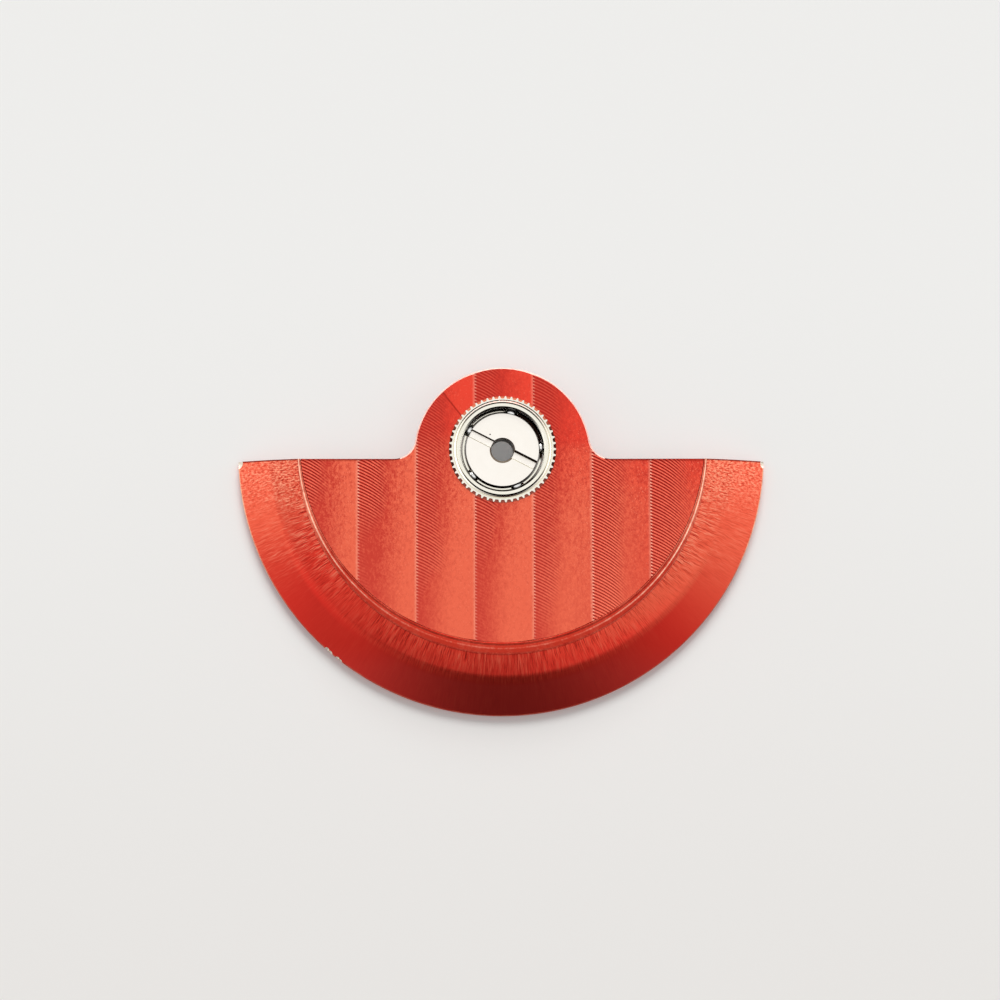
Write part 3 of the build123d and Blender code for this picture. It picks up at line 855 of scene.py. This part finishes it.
def makeRace():
    size = raceSize
    low, high, ledge, ball = raceLow.z, raceHigh.z, plateLow.z, ballSize["height"]
    root, collarRoot, ring, opening = size["root"], size["collarRoot"], size["ring"], size["opening"]
    top, seat, seatTop, chamfer = size["collarTop"], size["fillRadius"], size["fillTop"], size["toothChamfer"]
    groove, line, fall = size["grooveDepth"], size["lineWidth"], size["lineDepth"]
    inRing, gearTop = ring - size["ringChamfer"], ledge - size["gearClear"]
    race = turnShape("toothed_race", size["teeth"] * size["perTooth"], [
        (opening, low), (root, low), (root, gearTop), (seat, ledge),
        (seat, seatTop), (collarRoot, seatTop + 0.001),
        (collarRoot, top - chamfer), (root - chamfer, top),
        (ring + line, top), (ring + line / 2, top - fall), (ring, top),
        (ring, high - size["ringChamfer"]), (inRing, high - 0.004),
        (inRing - line * 0.5, high - fall), (inRing - line * 1.1, high),
        (opening + size["openingChamfer"], high), (opening, high - size["openingChamfer"]),
        (opening, ball + groove), (opening + groove, ball), (opening, ball - groove),
    ])
    pitch = 2 * pi / size["teeth"]

    def inTooth(point, numbers):
        # Whether the vertex has one of these numbers within its tooth
        return round(atan2(point.y, point.x) / pitch * size["perTooth"]) % size["perTooth"] in numbers

    # The teeth are drawn out of the root circle: their tips in full and the vertices beside them by half
    for bandLow, bandHigh, tip in ((low, gearTop, size["gearTip"]), (seatTop, top, size["collarTip"])):
        for numbers, reach in (((0, 1, 11), tip), ((2, 10), (tip + root) / 2)):
            pick(race, "VERT", lambda point: inTooth(point, numbers)
                 and root - 0.03 < fromAxis(point) < seat - 0.01
                 and bandLow - 0.001 < point.z < bandHigh + 0.001)
            growth = reach / root
            bpy.ops.transform.resize(value=(growth, growth, 1), center_override=(0, 0, 0))
            leaveEdit()
    soften(race, 28)
    dress(race, raceSteel, "rotor", "race_steel", "toothed_outer_race")
    return race


nutSize = {
    "sides": 360, "flange": 1.84, "groove": 1.486, "thread": 1.0139, "chamfer": 0.012, "hole": 0.58,
    "sinkWidth": 0.06, "sinkDepth": 0.055, "sinkShift": -0.034,
    "slotWidth": 0.325, "slotDepth": 0.12, "slotAngle": -27.0,
    # The slot's edges, worn by screwdrivers: the far one on both halves, and the near one
    "wornTilt": 25.0, "rightWearAndPaintedLight": 0.12, "wornLeft": 0.075, "wornNear": 0.03,
    "wornMiddle": 1.5, "wornBox": (2.4, 0.12, 0.2),
    "pit": (-0.62, 0.77), "pitRadius": 0.035, "pitDepth": 0.02, "pitSides": 24,
}


def makeNut():
    size = nutSize
    top, seat, ball = nutHigh.z, coreHigh.z, ballSize["height"]
    flange, groove, thread, hole = size["flange"], size["groove"], size["thread"], size["hole"]
    nut = turnShape("slotted_nut", size["sides"], [
        (thread, ball), (groove, ball), (flange, ball + (flange - groove)),
        (flange, top - size["chamfer"]), (flange - size["chamfer"], top),
        (hole + size["sinkWidth"], top, size["sinkShift"]), (hole, top - size["sinkDepth"]),
        (hole, seat), (thread, seat),
    ])
    giveFinishes(nut, nutSteel, holeEdge)
    # The hole's chamfer takes the finish painted dark on its far side, as shade
    markFaces(nut, holeEdge, lambda place, normal: 0.1 < normal.z < 0.97 and fromAxis(place) < 0.9)
    slot = block((4 * flange, size["slotWidth"], 2 * size["slotDepth"]), (0, 0, top), 0, size["slotAngle"])
    combine(nut, slot, "DIFFERENCE")
    far, near = size["slotAngle"], size["slotAngle"] + 180
    # The far edge's slopes are painted dark, as shade
    for side, width, angle, finish in (
            (1, size["rightWearAndPaintedLight"], far, slotShade), (-1, size["wornLeft"], far, slotShade),
            (1, size["wornNear"], near, slotPale), (-1, size["wornNear"], near, slotPale)):
        combine(nut, wornCutter(side, width, angle, top, finish), "DIFFERENCE", keepFinish=True)
    # A small pit, painted dark as shade
    pit = column(size["pitSides"], size["pitRadius"], top - size["pitDepth"], top + 1, size["pit"])
    giveFinishes(pit, slotShade)
    combine(nut, pit, "DIFFERENCE", keepFinish=True)
    clean(nut)
    soften(nut, 18)
    dress(nut, nutSteel, "inner_race", "nut_steel", "slotted_race_nut")
    return nut


def block(scale, place, tilt, angle):
    # A box of this size, tilted about its length and then turned about the axis, in degrees
    clearSelection()
    bpy.ops.mesh.primitive_cube_add(size=1.0 * mm)
    piece = bpy.context.object
    piece.scale = scale
    piece.rotation_euler = (radians(tilt), 0, radians(angle))
    piece.location = Vector(place) * mm
    bpy.ops.object.transform_apply()
    return piece


def wornCutter(side, width, angle, top, finish):
    # A box that takes a shallow slope off one half of an edge of the slot
    size = nutSize
    tilt = radians(size["wornTilt"])
    along, across = Vector((0, cos(tilt), sin(tilt))), Vector((0, -sin(tilt), cos(tilt)))
    corner = Vector((side * size["wornMiddle"], size["slotWidth"] / 2 + width, top))
    middle = corner - along * (size["wornBox"][1] / 2) + across * (size["wornBox"][2] / 2)
    place = Matrix.Rotation(radians(angle), 3, "Z") @ middle
    cutter = block(size["wornBox"], place, size["wornTilt"], angle)
    giveFinishes(cutter, finish)
    return cutter


# The core lies below the nut and shares its flange, groove and thread
coreSize = {"sides": 300, "bore": 0.56, "boreChamfer": 0.015, "seat": 1.3, "seatStep": 0.15, "gap": 0.03}


def makeCore():
    size = coreSize
    top, ball, gap = coreHigh.z, ballSize["height"], size["gap"]
    flange, groove, thread = nutSize["flange"], nutSize["groove"], nutSize["thread"]
    core = turnShape("race_core", size["sides"], [
        (size["bore"], coreLow.z), (size["seat"], coreLow.z), (size["seat"], size["seatStep"]),
        (flange, size["seatStep"]), (flange, ball - (flange - groove)),
        (groove + gap, ball - gap), (thread, ball - gap), (thread, top),
        (size["bore"] + size["boreChamfer"], top), (size["bore"], top - size["boreChamfer"]),
    ])
    soften(core, 25)
    dress(core, coreSteel, "inner_race", "nut_steel", "inner_race_core")
    return core


cageSize = {
    "sides": 360, "inner": 1.9, "outer": 2.02, "rim": 0.012,
    "pocketWidth": 0.84, "pocketLength": 1.2, "pocketSides": 64, "web": 0.09,
}


def ballPlace(number):
    # Heading of a ball and its middle
    angle = radians(ballSize["firstAngle"] + number * 360 / ballSize["count"])
    radius = ballSize["pitchRadius"]
    return angle, (radius * cos(angle), radius * sin(angle), ballSize["height"])


def makeCage():
    size = cageSize
    low, high, rim = cageLow.z, cageHigh.z, size["rim"]
    inner, outer = size["inner"], size["outer"]
    cage = turnShape("bearing_cage", size["sides"], [
        (inner, low), (outer, low), (outer, high - rim), (outer - rim, high),
        (inner + rim, high), (inner, high - rim),
    ])
    for number in range(ballSize["count"]):
        angle, place = ballPlace(number)
        turn = (pi / 2, 0, angle + pi / 2)
        pocket = rod(size["pocketSides"], size["pocketWidth"] / 2, size["pocketLength"], place, turn)
        sliceOff(pocket, (0, 0, low + size["web"]), (0, 0, -1))
        combine(cage, pocket, "DIFFERENCE")
    soften(cage, 25)
    dress(cage, cageMetal, "cage", "cage_brass", "ball_cage")
    return cage


def makeBalls():
    # A cube rounded into a ball, so that its faces are even and it has no poles
    for number in range(ballSize["count"]):
        clearSelection()
        bpy.ops.mesh.primitive_cube_add(size=ballSize["radius"] * mm)
        ball = bpy.context.object
        ball.name = ball.data.name = f"bearing_ball_{number + 1}"
        openEdit()
        bpy.ops.mesh.subdivide(number_cuts=ballSize["cuts"])
        bpy.ops.transform.tosphere(value=1.0)
        leaveEdit()
        growth = ballSize["radius"] / (ball.data.vertices[0].co.length / mm)
        openEdit()
        bpy.ops.transform.resize(value=(growth, growth, growth), center_override=(0, 0, 0))
        bpy.ops.transform.translate(value=[value * mm for value in ballPlace(number)[1]])
        leaveEdit()
        soften(ball, 40)
        dress(ball, ballSteel, "ball_" + "abcde"[number], "ball_steel", f"ball_{number + 1}")


race = makeRace()
nut = makeNut()
core = makeCore()
cage = makeCage()
makeBalls()
print("bearing made")


# Studio: pale floor, soft light from the upper right, the room that the metal mirrors, and the camera

studio = {
    "floorSize": 2.0, "floorGap": 0.004, "floorGlow": 0.17,
    "floorNear": rgb(237, 235, 233), "floorFar": rgb(244, 244, 243), "nearEnd": -34.0, "farEnd": 12.0,
    "sunAngle": 37.0, "sunStrength": 2.95, "sunFrom": (0.06, 0.86, 0.58), "sunColour": (1.0, 0.99, 0.97),
    "roomLight": 0.98, "northLight": 0.78, "roomShare": 0.5, "lowLight": 1.2,
    # The dark end of the room: its heading low down and high up, half its width, and its height
    "darkHeadings": (-81.0, -124.0), "headingRise": (30.0, 64.0), "darkWidth": (84.0, 4.0),
    "darkHeight": (77.0, 42.0),
}


def makeFloor():
    clearSelection()
    place = (0, 0, (weightLow.z - studio["floorGap"]) * mm)
    bpy.ops.mesh.primitive_plane_add(size=studio["floorSize"], location=place)
    floor = bpy.context.object
    floor.name = "paper_floor"
    bpy.ops.object.transform_apply()
    # The paper is painted a little lighter towards the far end, as painted light; the camera sees part of it
    # as plain backdrop
    made = newFinish("palePaper")
    far = made.ease(made.millimetres()[1], studio["nearEnd"], studio["farEnd"])
    colour = made.blend(far, studio["floorNear"], studio["floorFar"])
    paper = made.add("ShaderNodeBsdfPrincipled", {}, {"Base Color": colour, "Roughness": 0.9})
    backdrop = made.add("ShaderNodeEmission", {}, {"Color": colour, "Strength": 1.0})
    camera = made.add("ShaderNodeLightPath", {}, out="Is Camera Ray")
    shown = made.add("ShaderNodeMixShader", {}, [camera * studio["floorGlow"], paper, backdrop])
    made.add("ShaderNodeOutputMaterial", {}, {"Surface": shown}, out=None)
    giveFinishes(floor, made.owner)


def makeRoom():
    world = bpy.data.worlds.new("softRoom")
    bpy.context.scene.world = world
    made = Finish(world)
    x, y, z = made.split("ShaderNodeSeparateXYZ", made.add("ShaderNodeTexCoord", {}, out="Generated"))
    lowHeading, highHeading = (radians(value) for value in studio["darkHeadings"])
    wide, narrow = (radians(value) for value in studio["darkWidth"])
    rise = made.ease(z, *(sin(radians(value)) for value in studio["headingRise"]))
    heading = made.maths("ARCTAN2", y, x)
    away = made.maths("ABSOLUTE", heading - (lowHeading + rise * (highHeading - lowHeading)))
    low = made.ease(z, *(sin(radians(value)) for value in studio["darkHeight"]))
    dark = made.ease(away, wide, narrow) * low
    north = made.ease(y, 0.1, 0.6)
    light = (studio["roomLight"] - north * (studio["roomLight"] - studio["northLight"])) * (1 - dark)
    # The walls are brighter low down, where only the paper and the steep faces see them
    light = light * (1 + studio["lowLight"] * made.ease(z, 0.36, 0.08))
    # Metal mirrors the whole room, and the paper takes a share of its light beside the window's
    path = made.add("ShaderNodeLightPath", {}).socket.node.outputs
    camera, mirrored, through = (
        Wire(made, path[name]) for name in ("Is Camera Ray", "Is Glossy Ray", "Is Transmission Ray"))
    colour = made.add("ShaderNodeCombineColor", {}, [light, light * 0.997, light * 0.992])
    seen = made.blend(camera, colour, studio["floorFar"])
    strength = studio["roomShare"] + made.clamp(camera + mirrored + through) * (1 - studio["roomShare"])
    background = made.add("ShaderNodeBackground", {}, {"Color": seen, "Strength": strength})
    made.add("ShaderNodeOutputWorld", {}, {"Surface": background}, out=None)


def makeSun():
    data = bpy.data.lights.new("softWindow", "SUN")
    data.energy = studio["sunStrength"]
    data.angle = radians(studio["sunAngle"])
    data.color = studio["sunColour"]
    sun = bpy.data.objects.new("softWindow", data)
    bpy.context.scene.collection.objects.link(sun)
    sun.rotation_mode = "QUATERNION"
    sun.rotation_quaternion = Vector(studio["sunFrom"]).to_track_quat("Z", "Y")


cameraSet = {
    "place": (-4.62, -17.1, 149.55), "target": (-0.14, -2.55, 1.40), "roll": -0.23,
    "lens": 107.2, "sensor": 36.0, "clip": (0.005, 10.0),
}


def makeCamera():
    data = bpy.data.cameras.new("bench_camera")
    camera = bpy.data.objects.new("bench_camera", data)
    bpy.context.scene.collection.objects.link(camera)
    place, target = Vector(cameraSet["place"]), Vector(cameraSet["target"])
    data.lens = cameraSet["lens"]
    data.sensor_width = cameraSet["sensor"]
    data.clip_start, data.clip_end = cameraSet["clip"]
    camera.location = place * mm
    # The picture's upper edge lies towards +Y
    back = (place - target).normalized()
    right = Matrix.Rotation(radians(cameraSet["roll"]), 3, back) @ Vector((0, 1, 0)).cross(back).normalized()
    camera.rotation_euler = Matrix((right, back.cross(right), back)).transposed().to_euler()
    bpy.context.scene.camera = camera


makeFloor()
makeRoom()
makeSun()
makeCamera()
bpy.context.scene.view_settings.view_transform = "Standard"
print("studio made")
